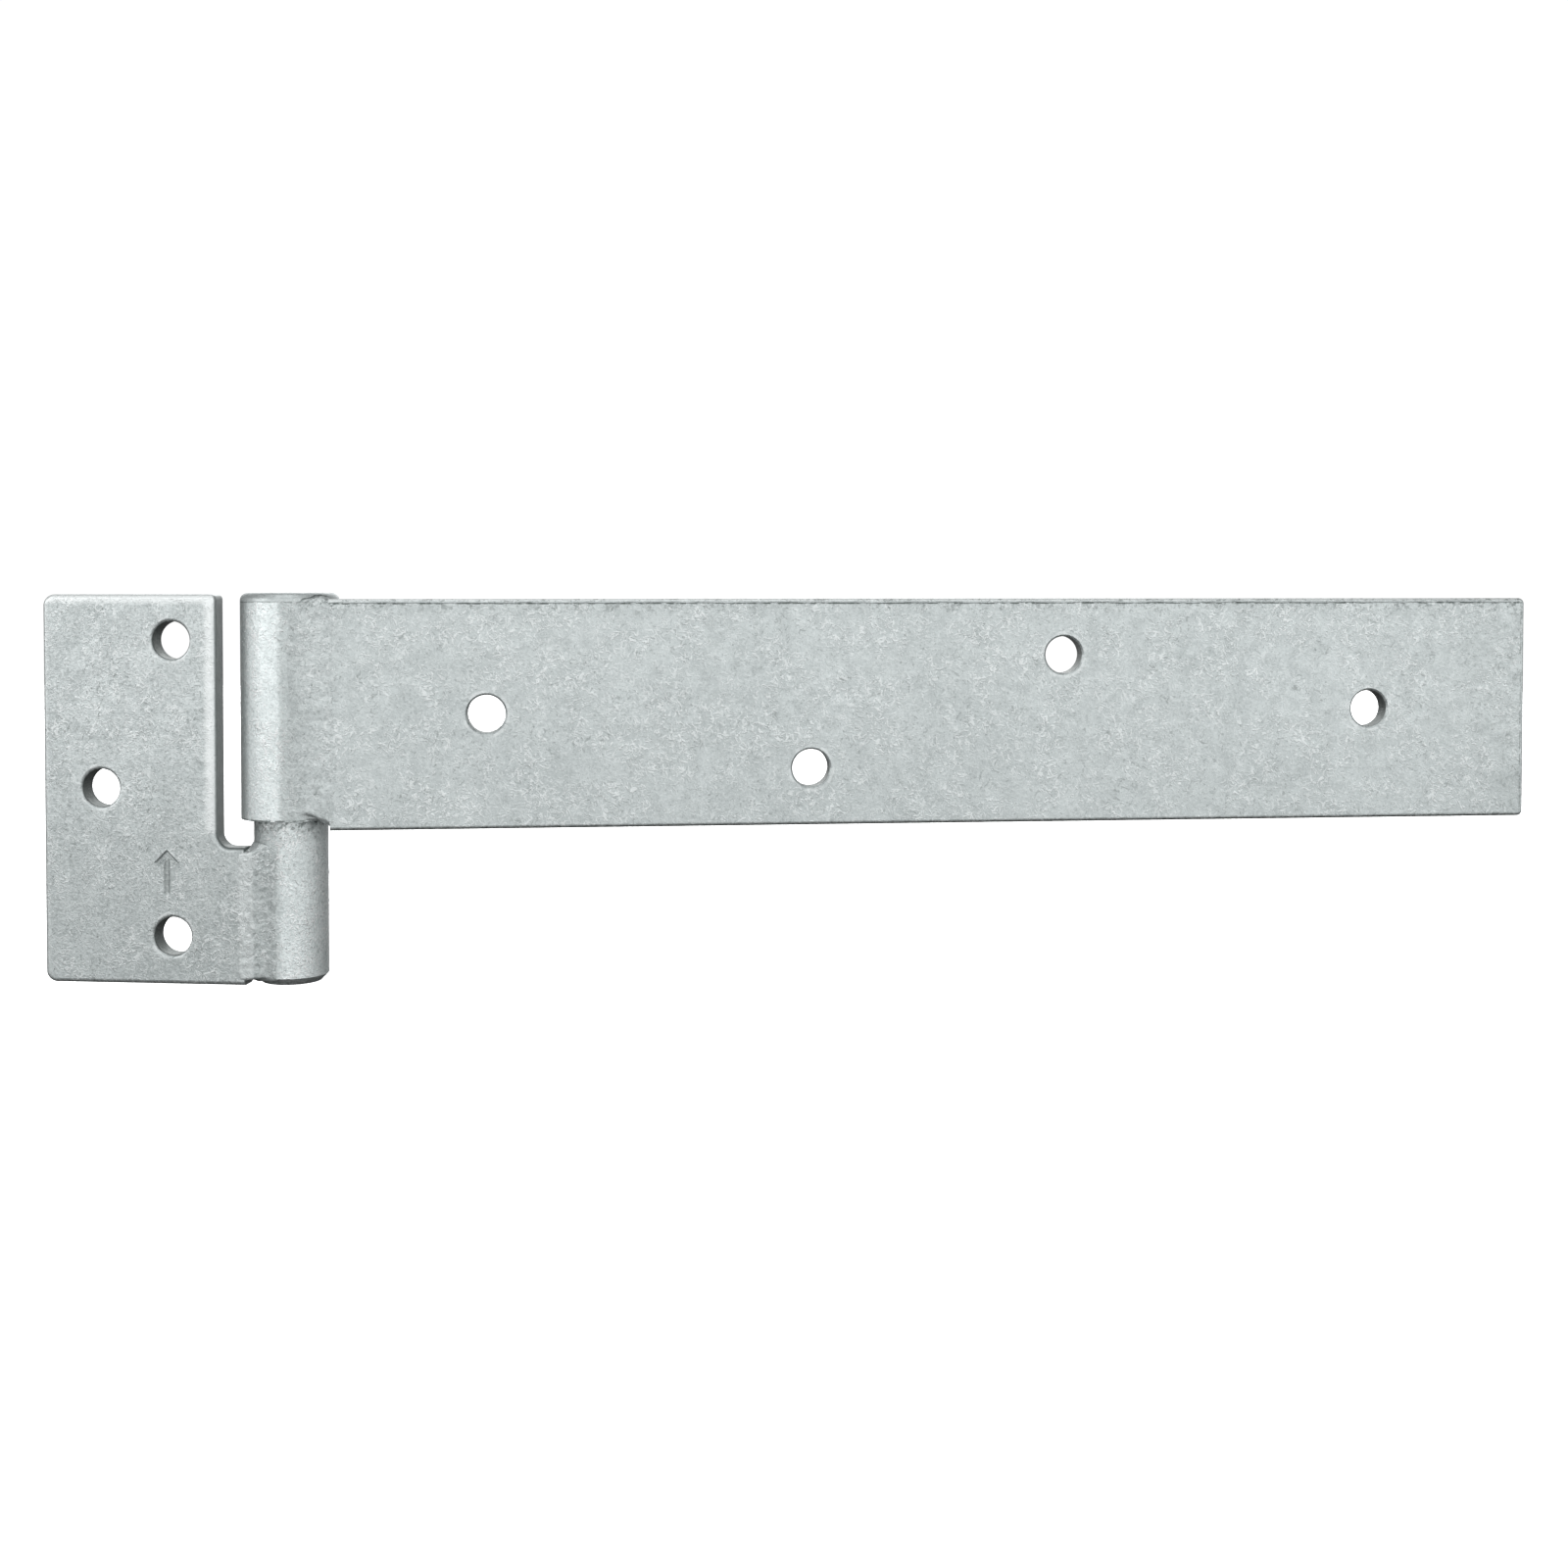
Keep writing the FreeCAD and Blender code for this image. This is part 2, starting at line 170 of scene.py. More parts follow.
class Graph:
    """The node tree of a material or of the world, built with short calls."""

    def __init__(self, owner):
        owner.use_nodes = True
        self.tree = owner.node_tree
        self.tree.nodes.clear()

    def node(self, kind, inputs=None, **settings):
        made = self.tree.nodes.new(kind)
        for key, setting in settings.items():
            setattr(made, key, setting)
        for key, source in (inputs or {}).items():
            socket = made.inputs[key]
            if isinstance(source, bpy.types.NodeSocket):
                self.tree.links.new(source, socket)
            else:
                socket.default_value = source
        return made

    def math(self, operation, a, b=0.0):
        return self.node("ShaderNodeMath", {0: a, 1: b}, operation=operation).outputs[0]

    def times(self, *factors):
        product = factors[0]
        for factor in factors[1:]:
            product = self.math("MULTIPLY", product, factor)
        return product

    def vector_math(self, operation, a, b):
        return self.node("ShaderNodeVectorMath", {0: a, 1: b}, operation=operation)

    def shifted(self, place, offset):
        return self.vector_math("ADD", place, offset).outputs[0]

    def ramp(self, source, low, high, to_low=0.0, to_high=1.0):
        """A smooth step from to_low to to_high as source goes from low to high."""
        made = self.node("ShaderNodeMapRange", {0: source, 1: low, 2: high, 3: to_low, 4: to_high},
                         interpolation_type="SMOOTHSTEP")
        return made.outputs[0]

    def stripe(self, source, middle, half_width):
        """One at the middle value of source, fading to nothing half_width away."""
        away = self.math("ABSOLUTE", self.math("SUBTRACT", source, middle))
        return self.ramp(away, half_width * 0.3, half_width, 1.0, 0.0)

    def noise(self, place, scale, detail=2.0, roughness=0.5, output="Fac"):
        made = self.node("ShaderNodeTexNoise", {"Vector": place, "Scale": scale,
                                                "Detail": detail, "Roughness": roughness})
        return made.outputs[output]

    def axis(self, place, name):
        return self.node("ShaderNodeSeparateXYZ", {0: place}).outputs[name]

    def mix(self, factor, first, second):
        made = self.node("ShaderNodeMix", {0: factor, 6: first, 7: second}, data_type="RGBA")
        return made.outputs[2]

    def surface(self, kind, inputs):
        """A shader, joined to the material's output."""
        shader = self.node(kind, inputs).outputs[0]
        self.node("ShaderNodeOutputMaterial", {"Surface": shader})


def rgba(colour):
    return (*colour, 1.0)


def millimetres(graph, turn):
    """The place on the leaf in millimetres, so that noise scales are per millimetre."""
    place = graph.node("ShaderNodeTexCoord").outputs["Object"]
    place = graph.vector_math("MULTIPLY", place, (1 / MM, 1 / MM, 1 / MM)).outputs[0]
    back = -turn.to_euler().z
    turned = graph.node("ShaderNodeVectorRotate", {"Vector": place, "Angle": back},
                        rotation_type="Z_AXIS")
    return turned.outputs[0]


def warped(graph, place, scale, reach):
    """The place, pushed about by noise, so that what is drawn on it curls."""
    push = graph.noise(place, scale, 2.0, 0.5, "Color")
    push = graph.vector_math("SUBTRACT", push, (0.5, 0.5, 0.5)).outputs[0]
    push = graph.vector_math("MULTIPLY", push, (reach, reach, reach)).outputs[0]
    return graph.vector_math("ADD", place, push).outputs[0]


def fibres(graph, place, angle, length, width, cover):
    """Short thin strokes, all about one way: the peaks of a noise drawn out along it."""
    turned = graph.node("ShaderNodeVectorRotate", {"Vector": place, "Angle": math.radians(angle)},
                        rotation_type="Y_AXIS").outputs[0]
    drawn = graph.vector_math("MULTIPLY", turned, (1 / length, 1 / width, 1 / width)).outputs[0]
    return graph.ramp(graph.noise(drawn, 1.0, 0.0), cover, cover + 0.12)


def all_fibres(graph, place, layers, first_angle, cover):
    """Strokes that lie every way, thick in some patches and thin in others."""
    curved = warped(graph, place, 0.5, 2.2)
    total = None
    for layer in range(layers):
        moved = graph.shifted(curved, LAYER_SHIFT * layer + Vector((first_angle, 0, 0)))
        angle = first_angle + 180.0 * layer / layers
        length = 2.0 + 0.5 * (layer % 3)
        strokes = fibres(graph, moved, angle, length, STROKE_WIDTH, cover)
        total = strokes if total is None else graph.math("MAXIMUM", total, strokes)
    patches = graph.noise(graph.shifted(place, (first_angle, 40.0, 11.0)), 0.13, 2.0)
    return graph.times(total, graph.ramp(patches, 0.38, 0.62, 0.25, 1.0))


def scaled(colour, factor, most=math.inf):
    return tuple(min(channel * factor, most) for channel in colour)


def cloudy_tone(graph, broad, patches, fine, mottling, grain):
    """From 0 to 1 about an even middle: broad clouds, patches and fine grain together."""
    broad_weight, fine_weight, spread = 0.9 * mottling, 2.6 * grain, 0.9
    total = graph.math("ADD", graph.times(broad, broad_weight), graph.times(patches, mottling))
    total = graph.math("ADD", total, graph.times(fine, fine_weight))
    middle = (broad_weight + mottling + fine_weight) / 2
    return graph.ramp(total, middle - spread, middle + spread)


def zinc_bump(graph, reliefs):
    """The surface's relief.  reliefs are pairs of a pattern and its height in millimetres."""
    height = 0.0
    for pattern, rise in reliefs:
        height = graph.math("ADD", height, graph.times(pattern, rise))
    bump = graph.node("ShaderNodeBump", {"Height": height, "Strength": 1.0, "Distance": MM})
    return bump.outputs["Normal"]


def zinc(name, turn=NO_TURN, marks=(), mottling=1.0, grain=1.0, lines=1.0, lightness=1.0,
         specks=1.0):
    """Weathered hot-dip zinc: cloudy tone, salt-and-pepper grain, hairlines and specks.
    marks are functions that change the colour at places of their own: dirt, painted highlights and
    painted shade."""
    material = bpy.data.materials.new(name)
    graph = Graph(material)
    place = millimetres(graph, turn)
    curly = warped(graph, place, 0.4, 1.6)

    broad = graph.noise(place, 0.05, 3.0, 0.55)
    patches = graph.noise(curly, 0.30, 4.0, 0.6)
    fine = graph.noise(curly, 1.6, 3.0, 0.75)
    tone = cloudy_tone(graph, broad, patches, fine, mottling, grain)
    bright = rgba(scaled(ZINC_BRIGHT, lightness, 0.95))
    dark, light = rgba(scaled(ZINC_DARK, lightness)), rgba(scaled(ZINC_LIGHT, lightness))
    colour = graph.mix(tone, dark, light)

    flecks = graph.ramp(graph.noise(curly, 1.9, 2.0, 0.7), 0.60, 0.72)
    colour = graph.mix(graph.times(flecks, 0.6 * grain), colour, bright)
    pepper_place = graph.shifted(place, (71.0, 13.0, 29.0))
    pepper = graph.ramp(graph.noise(pepper_place, 1.5, 2.0, 0.7), 0.60, 0.74)
    pepper_strength = min(0.42 * grain, 0.6) * specks
    colour = graph.mix(graph.times(pepper, pepper_strength), colour, rgba(ZINC_STAIN_AND_SHADE))

    pale = all_fibres(graph, place, 4, 20.0, 0.64)
    colour = graph.mix(graph.times(pale, 0.5 * lines), colour, bright)
    dark_strokes = all_fibres(graph, place, 2, 65.0, 0.68)
    colour = graph.mix(graph.times(dark_strokes, 0.28 * lines), colour, rgba(ZINC_STAIN_AND_SHADE))

    for mark in marks:
        colour = mark(graph, place, colour)

    relief = zinc_bump(graph, [(patches, 0.05 * mottling), (fine, 0.03 * grain),
                               (flecks, 0.02 * grain), (pale, 0.02 * lines)])
    roughness = graph.ramp(patches, 0.35, 0.65, 0.46, 0.36)
    graph.surface("ShaderNodeBsdfPrincipled", {
        "Base Color": colour, "Metallic": 0.6, "Roughness": roughness, "Normal": relief,
        "Specular IOR Level": 0.5,
    })
    return material


# ---------------------------------------------------------------- marks on the zinc: dirt, painted highlights and painted shade

def ragged(graph, place, axis, reach=0.6, size=1.2):
    """One coordinate of the place, made uneven by noise."""
    uneven = graph.math("SUBTRACT", graph.noise(place, 1 / size, 2.0), 0.5)
    return graph.math("ADD", graph.axis(place, axis), graph.times(uneven, 2 * reach))


def highlit_edge(axis, edge, inward, strength, above=None):
    """A painted highlight where a rounded edge catches the light: a lighter band from an edge
    inward, in millimetres; above keeps it over a height.
    """
    def mark(graph, place, colour):
        band = graph.ramp(ragged(graph, place, axis), edge + 0.4 * inward, edge + inward, 1.0, 0.0)
        if above is not None:
            band = graph.times(band, graph.ramp(graph.axis(place, "Z"), above, above + 2.0))
        return graph.mix(graph.times(band, strength), colour, rgba(ZINC_BRIGHT))
    return mark


def darker_area(axis, start, finish, strength, wander=4.0):
    """A darker area that begins softly between two places."""
    def mark(graph, place, colour):
        area = graph.ramp(ragged(graph, place, axis, wander, 2.2 * wander), start, finish)
        return graph.mix(graph.times(area, strength), colour, rgba(ZINC_STAIN_AND_SHADE))
    return mark


def dark_line(axis, at, half_width, strength, wander=0.15):
    """A broken dark line at one coordinate."""
    def mark(graph, place, colour):
        line = graph.stripe(ragged(graph, place, axis, wander, 1.5), at, half_width)
        broken = graph.ramp(graph.noise(place, 0.7, 3.0, 0.6), 0.40, 0.56, 0.1, 1.0)
        return graph.mix(graph.times(line, broken, strength), colour, rgba(ZINC_STAIN_AND_SHADE))
    return mark


def dark_specks(axis, edge, inward, strength, cover=0.52):
    """Dark specks that thin out from an edge inward."""
    def mark(graph, place, colour):
        near = graph.ramp(graph.axis(place, axis), edge, edge + inward, 1.0, 0.0)
        specks = graph.noise(warped(graph, place, 0.8, 1.0), 0.9, 3.0, 0.7)
        specks = graph.ramp(specks, cover, cover + 0.12)
        return graph.mix(graph.times(near, specks, strength), colour, rgba(ZINC_STAIN_AND_SHADE))
    return mark


def shaded_recess(face, middle, reach, depth, strength):
    """Painted shade below a face, in a stamped mark within reach of its middle."""
    def mark(graph, place, colour):
        flat = graph.vector_math("MULTIPLY", place, (1.0, 0.0, 1.0)).outputs[0]
        away = graph.vector_math("DISTANCE", flat, (middle[0], 0.0, middle[1])).outputs["Value"]
        inside = graph.ramp(away, reach, reach + 0.2, 1.0, 0.0)
        below = graph.ramp(graph.axis(place, "Y"), face + 0.02, face + depth)
        shallow = graph.ramp(graph.axis(place, "Y"), face + 0.45, face + 0.5, 1.0, 0.0)
        return graph.mix(graph.times(below, shallow, inside, strength), colour, rgba(ZINC_STAIN_AND_SHADE))
    return mark


def nearest_centre(graph, place, centres):
    """How far the place is from the nearest of a leaf's hole axes."""
    flat = graph.vector_math("MULTIPLY", place, (1.0, 0.0, 1.0)).outputs[0]
    nearest = None
    for centre in centres:
        away = graph.vector_math("DISTANCE", flat, (centre.x, 0.0, centre.z)).outputs["Value"]
        nearest = away if nearest is None else graph.math("MINIMUM", nearest, away)
    return nearest


def dark_holes(centres, radius, depth_start, strength):
    """Painted shade: darker walls inside the holes, behind the rim."""
    def mark(graph, place, colour):
        nearest = nearest_centre(graph, place, centres)
        inside = graph.ramp(nearest, radius + 0.02, radius + 0.25, 1.0, 0.0)
        behind = graph.ramp(graph.axis(place, "Y"), depth_start, depth_start + 0.4)
        return graph.mix(graph.times(inside, behind, strength), colour, rgba(ZINC_STAIN_AND_SHADE))
    return mark


def bright_rims(centres, radius, strength):
    """Painted highlight: a broken light ring on the face, just outside each hole."""
    def mark(graph, place, colour):
        ring = graph.stripe(nearest_centre(graph, place, centres), radius + 0.75, 0.5)
        broken = graph.ramp(graph.noise(place, 0.35, 2.0), 0.45, 0.60)
        return graph.mix(graph.times(ring, broken, strength), colour, rgba(ZINC_BRIGHT))
    return mark


def shaded_sides(strength):
    """Painted shade on the sheared edges and hole walls: the sides that face along the leaf are
    darker.
    """
    def mark(graph, place, colour):
        normal = graph.node("ShaderNodeNewGeometry").outputs["True Normal"]
        sideways = graph.math("ABSOLUTE", graph.axis(normal, "X"))
        return graph.mix(graph.ramp(sideways, 0.5, 0.9, 0.0, strength), colour, rgba(ZINC_STAIN_AND_SHADE))
    return mark


def shaded_ledge(start, strength):
    """Painted shade: a darker upward face, from one place along the leaf on."""
    def mark(graph, place, colour):
        normal = graph.node("ShaderNodeNewGeometry").outputs["True Normal"]
        upward = graph.ramp(graph.axis(normal, "Z"), 0.35, 0.7)
        beyond = graph.ramp(graph.axis(place, "X"), start, start + 1.0)
        return graph.mix(graph.times(upward, beyond, strength), colour, rgba(ZINC_STAIN_AND_SHADE))
    return mark


def shadow_arc(seam):
    """Painted shadow: a dark arc on the front, just above the seam, where a bead's end meets the
    cap.
    """
    middle = (6.8, seam - 0.3)
    radius, half_width, strength = 1.6, 0.30, 0.9

    def mark(graph, place, colour):
        curly = warped(graph, warped(graph, place, 0.30, 1.8), 1.2, 0.7)
        flat = graph.vector_math("MULTIPLY", curly, (0.5, 0.0, 1.0)).outputs[0]
        centre = (0.5 * middle[0], 0.0, middle[1])
        away = graph.vector_math("DISTANCE", flat, centre).outputs["Value"]
        line = graph.stripe(away, radius, half_width)
        front = graph.ramp(graph.axis(place, "Y"), -3.0, -5.0)
        above = graph.ramp(graph.axis(place, "Z"), middle[1] + 0.2, middle[1] + 0.9)
        broken = graph.ramp(graph.noise(place, 0.9, 2.0), 0.36, 0.54, 0.2, 1.0)
        shade = graph.times(line, front, above, broken, strength)
        return graph.mix(shade, colour, rgba(ZINC_STAIN_AND_SHADE))
    return mark


# ---------------------------------------------------------------- mesh helpers

def set_material(piece, material):
    piece.data.materials.clear()
    piece.data.materials.append(material)


def wobble(x, z, size, seed=0.0):
    """Smooth noise between about -1 and 1.  size is the length of its waves."""
    return noise.noise(Vector((x / size + seed, z / size, seed * 1.7)))


def smooth_line(points, count):
    """count + 1 places along a smooth curve through the points, given as (x, y)."""
    points = [Vector((x, y)) for x, y in points]
    steps = count // (len(points) - 1)
    ends = [points[0]] + points + [points[-1]]
    line = []
    for before, start, finish, after in zip(ends, ends[1:], ends[2:], ends[3:]):
        out, back = (finish - before) / 6, (after - start) / 6
        line += interpolate_bezier(start, start + out, finish - back, finish, steps + 1)[:-1]
    return line + [points[-1]]


def height_at(line, x):
    """The height at x of a line of places that runs from left to right."""
    for start, finish in zip(line, line[1:]):
        if x <= finish.x:
            break
    share = min(max((x - start.x) / (finish.x - start.x), 0.0), 1.0)
    return start.y + (finish.y - start.y) * share


def closed_sheet(outer, inner):
    """Vertices and faces of a solid between two grids of the same size."""
    rows, columns = len(outer), len(outer[0])
    vertices = [p for row in outer for p in row] + [p for row in inner for p in row]
    under = rows * columns
    faces = []
    for r in range(rows - 1):
        for c in range(columns - 1):
            a = r * columns + c
            quad = (a, a + 1, a + columns + 1, a + columns)
            faces.append(quad)
            faces.append(tuple(under + i for i in reversed(quad)))
    rim = list(range(columns))
    rim += [r * columns + columns - 1 for r in range(1, rows)]
    rim += [(rows - 1) * columns + c for c in range(columns - 2, -1, -1)]
    rim += [r * columns for r in range(rows - 2, 0, -1)]
    for a, b in zip(rim, rim[1:] + rim[:1]):
        faces.append((b, a, under + a, under + b))
    return vertices, faces


def solid_mesh(name, vertices, faces):
    """A mesh in metres from vertices in millimetres, with its faces turned outward."""
    shape = bmesh.new()
    corners = [shape.verts.new(Vector(v) * MM) for v in vertices]
    for face in faces:
        shape.faces.new([corners[i] for i in face])
    bmesh.ops.recalc_face_normals(shape, faces=shape.faces)
    mesh = bpy.data.meshes.new(name)
    shape.to_mesh(mesh)
    shape.free()
    return mesh


def add_piece(mesh, turn, body, material):
    """A new piece that rides a body.  turn takes it from along its leaf to its place."""
    mesh.transform(turn)
    mesh.shade_smooth()
    piece = bpy.data.objects.new(mesh.name, mesh)
    bpy.context.scene.collection.objects.link(piece)
    set_material(piece, material)
    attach(piece, body)
    return piece


# ---------------------------------------------------------------- weld beads

def bead_rows(section, core, lows, highs, end_round, ripple, seed):
    """A grid of places: the section drawn again at each height, closing in on the
    core over end_round at both ends."""
    length = highs[0].y - lows[0].y
    count = round(length / BEAD_ROW)
    rows = []
    for step in range(count + 1):
        share = step / count
        row = []
        for place in section:
            low, high = height_at(lows, place.x), height_at(highs, place.x)
            z = low + (high - low) * share
            to_end = min(share, 1 - share) * length / end_round
            grown = math.sqrt(1 - (1 - min(to_end, 1.0)) ** 2)
            x = place.x + ripple * SWAY_SHARE * wobble(0.0, z, SWAY_WAVE, seed)
            rise = FINE_SHARE * wobble(x, z, FINE_WAVE, seed)
            rise += BROAD_SHARE * wobble(x, z, BROAD_WAVE, seed + 5)
            kept = END_SECTION + (1 - END_SECTION) * grown
            spot = core + (Vector((x, place.y + ripple * rise)) - core) * kept
            row.append(Vector((spot.x, spot.y, z)))
        rows.append(row)
    return rows


def weld_bead(name, front, back, core, low_edge, high_edge, end_round, ripple, seed):
    """A bead as one closed solid: its front face, and the fillet on the back.  front
    and back are (x, y) places across it, and the edges are (x, z) places at its ends."""
    front_line = smooth_line(front, BEAD_COLUMNS)
    back_line = smooth_line(back, BEAD_COLUMNS)
    lows, highs = smooth_line(low_edge, BEAD_END_STEPS), smooth_line(high_edge, BEAD_END_STEPS)
    core = Vector(core)
    outer = bead_rows(front_line, core, lows, highs, end_round, ripple, seed)
    inner = bead_rows(back_line, core, lows, highs, BACK_END_ROUND, ripple * BACK_RIPPLE,
                      seed + 20)
    return solid_mesh(name, *closed_sheet(outer, inner))


def make_frame_bead(material):
    """Fills the groove between the arm of the plate and the bar."""
    radius = leaf_box("pivot_bar")[1].x
    face, back = -radius, leaf_box("frame_plate")[1].y
    low, top = leaf_box("frame_weld")[0].z, leaf_box("frame_weld")[1].z
    # From the plate to the bar: the left toe, the sunken middle and the toe on the bar.
    front = [(-9.5, face + 0.3), (-8.9, face - 0.03), (-7.4, face - 0.04), (-6.2, face - 0.14),
             (-5.2, face + 0.20), (-3.8, face + 0.42), (-2.4, face + 0.28), (-1.2, face + 0.02),
             (-0.3, face + 0.06)]
    rear = [(-11.3, back - 0.3), (-10.3, back + 0.12), (-8.9, back + 1.7), (-7.3, back + 3.4)]
    core = (-radius + 0.3, (face + back) / 2)
    low_edge = [(-11.3, low), (-8.0, low), (-6.0, low + 0.25), (-3.0, low + 0.3), (-0.3, low)]
    high_edge = [(-11.3, top), (-7.0, top + 0.2), (-5.0, top + 0.9), (-3.0, top + 2.0),
                 (-0.3, top + 0.6)]
    mesh = weld_bead("frame_weld_bead", front, rear, core, low_edge, high_edge,
                     end_round=0.8, ripple=0.07, seed=3.0)
    bead = add_piece(mesh, NO_TURN, FIXED_LEAF, material)
    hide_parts("frame_weld")


def make_barrel_bead(material):
    """Fills the groove between the strap and the barrel, and laps over the cap's seam."""
    radius = leaf_box("barrel", STRAP_TURN)[1].x
    face, back = -radius, leaf_box("strap_plate", STRAP_TURN)[1].y
    mouth, seam = leaf_box("barrel")[0].z, leaf_box("barrel")[1].z
    # From the barrel to the strap: the sunken middle and the toe on the strap.
    front = [(-0.6, face + 0.25), (1.0, face + 0.02), (2.6, face + 0.28), (4.2, face + 0.62),
             (5.8, face + 0.68), (7.6, face + 0.45), (9.0, face + 0.10), (10.0, face - 0.06),
             (10.9, face + 0.25)]
    # The back runs inside the barrel's wall, clear of the bar, and out to the fillet.
    wall = (radius + leaf_box("pivot_bar")[1].x) / 2
    angles = [math.radians(degrees) for degrees in (3, 30, 55, 68)]
    buried = [(wall * math.sin(angle), -wall * math.cos(angle)) for angle in angles]
    rear = buried + [(9.5, back + 2.3), (10.05, back + 1.75), (10.6, back + 1.2),
                     (11.6, back + 0.12), (12.2, back - 0.4)]
    core = (radius - 1.2, (face + back) / 2)
    low_edge = [(-0.6, mouth + 0.1), (1.6, mouth + 0.1), (4.4, mouth + 0.7), (9.4, mouth - 1.3),
                (12.4, mouth - 1.2)]
    high_edge = [(-0.6, seam - 0.2), (2.6, seam), (6.0, seam + 1.5), (9.4, seam + 0.6), (12.4, seam)]
    mesh = weld_bead("barrel_weld_bead", front, rear, core, low_edge, high_edge,
                     end_round=1.5, ripple=0.05, seed=11.0)
    bead = add_piece(mesh, STRAP_TURN, MOVING_LEAF, material)
    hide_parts("barrel_weld")


# ---------------------------------------------------------------- lip and pimples

def make_strap_lip(material):
    """The thin lap of rolled steel along the strap's upper front edge."""
    low, high = leaf_box("strap_plate", STRAP_TURN)
    start, finish = low.x + 3.0, high.x - 1.5
    steps, fading_steps = 460, 6
    below_edge, height, root_height, root_depth = 0.75, 0.55, 0.4, 0.5
    # Across the lap: (z, y), with z as a share of its height, and y below 0 in front of
    # the strap's face.
    profile = [(0.5, 0.25), (0.34, -0.02), (0.12, -0.10), (-0.12, -0.13), (-0.34, -0.05),
               (-0.5, 0.25)]
    outer, inner = [], []
    for step in range(steps + 1):
        x = start + (finish - start) * step / steps
        sway = 0.16 * wobble(x, 0.0, 5.0, 2.0) + 0.10 * wobble(x, 0.0, 1.3, 8.0)
        middle = high.z - below_edge + sway
        proud = 0.75 + 0.9 * max(wobble(x, 0.0, 3.0, 14.0), -0.6)
        proud *= min(step, steps - step, fading_steps) / fading_steps
        outer.append([Vector((x, low.y + (y if y > 0 else y * proud), middle + z * height))
                      for z, y in profile])
        inner.append([Vector((x, low.y + root_depth, middle + z * root_height))
                      for z, _ in profile])
    mesh = solid_mesh("strap_rolled_lip", *closed_sheet(outer, inner))
    add_piece(mesh, STRAP_TURN, MOVING_LEAF, material)


def add_lump(shape, place, outward, radius, flatness, draws):
    """A small uneven lump of zinc, half sunk in the face that it lies on.  flatness is
    its height as a share of its width."""
    turn = outward.to_track_quat("Z", "Y").to_matrix().to_4x4()
    stretch = Matrix.Diagonal((draws.uniform(0.8, 1.3), draws.uniform(0.8, 1.2), flatness, 1.0))
    spin = Matrix.Rotation(draws.uniform(0.0, math.tau), 4, "Z")
    where = Matrix.Translation(place) @ turn @ spin @ stretch
    made = bmesh.ops.create_icosphere(shape, subdivisions=2, radius=radius, matrix=where)
    for corner in made["verts"]:
        away = corner.co - place
        corner.co = place + away * (1.0 + 0.25 * noise.noise(corner.co * 4.0))


def lumps_mesh(name, places, seed):
    """One mesh of many lumps.  places are (place, outward, radius, flatness)."""
    draws = random.Random(seed)
    shape = bmesh.new()
    for place, outward, radius, flatness in places:
        add_lump(shape, place, outward, radius, flatness, draws)
    bmesh.ops.scale(shape, vec=(MM, MM, MM), verts=shape.verts)
    mesh = bpy.data.meshes.new(name)
    shape.to_mesh(mesh)
    shape.free()
    return mesh


def lumps_on_face(draws, count, low, high, y, side, holes, radii):
    """Lumps scattered over a flat face at y, clear of its holes."""
    centres, hole_radius = holes
    found = []
    while len(found) < count:
        place = Vector((draws.uniform(low.x, high.x), y, draws.uniform(low.z, high.z)))
        clear = all(math.hypot(place.x - c.x, place.z - c.z) > hole_radius + 1.0 for c in centres)
        if clear:
            found.append((place, Vector((0, side, 0)), draws.uniform(*radii), 0.45))
    return found


def lumps_on_round(draws, count, radius, angles, heights, radii):
    """Lumps scattered over a round about the pin; angle 0 faces the front."""
    found = []
    for _ in range(count):
        angle = math.radians(draws.uniform(*angles))
        outward = Vector((math.sin(angle), -math.cos(angle), 0))
        place = outward * radius + Vector((0, 0, draws.uniform(*heights)))
        found.append((place, outward, draws.uniform(*radii), 0.5))
    return found


def make_frame_pimples(draws, material):
    """Zinc pimples on both faces of the plate and round the bar."""
    low, high = leaf_box("frame_plate")
    bar_radius = leaf_box("pivot_bar")[1].x
    inset = Vector((1.5, 0, 1.5))
    lowest = low + inset
    highest = Vector((notch_edge() - 2.0, 0, high.z)) - inset
    bar_heights = (2.5, 34.0)
    holes = hole_centres("frame_hole")
    found = lumps_on_face(draws, 46, lowest, highest, low.y, -1, holes, (0.10, 0.22))
    found += lumps_on_face(draws, 30, lowest, highest, high.y, 1, holes, (0.10, 0.25))
    found += lumps_on_round(draws, 34, bar_radius, (-20, 85), bar_heights, (0.09, 0.20))
    found += lumps_on_round(draws, 30, bar_radius, (100, 240), bar_heights, (0.09, 0.22))
    mesh = lumps_mesh("frame_leaf_pimples", found, 5)
    add_piece(mesh, NO_TURN, FIXED_LEAF, material)


def make_frame_spatter(draws, material):
    """Spatter of the weld: thick over the bead's upper end, thin along its two toes."""
    face = leaf_box("frame_plate")[0].y
    found = []
    for _ in range(24):
        x, z = draws.uniform(-6.8, -2.4), draws.uniform(25.0, 30.0)
        y = face + (0.0 if x < -5.8 else 0.28)
        found.append((Vector((x, y, z)), Vector((0.1, -1, 0.3)), draws.uniform(0.10, 0.26), 0.4))
    left_toe, right_toe = -6.3, -1.4
    for _ in range(26):
        x = draws.choice((left_toe, right_toe)) + draws.gauss(0.0, 0.25)
        place = Vector((x, face + (0.0 if x < -6.0 else 0.06), draws.uniform(1.5, 29.0)))
        found.append((place, Vector((0, -1, 0)), draws.uniform(0.10, 0.24), 0.5))
    mesh = lumps_mesh("frame_weld_spatter", found, 6)
    add_piece(mesh, NO_TURN, FIXED_LEAF, material)


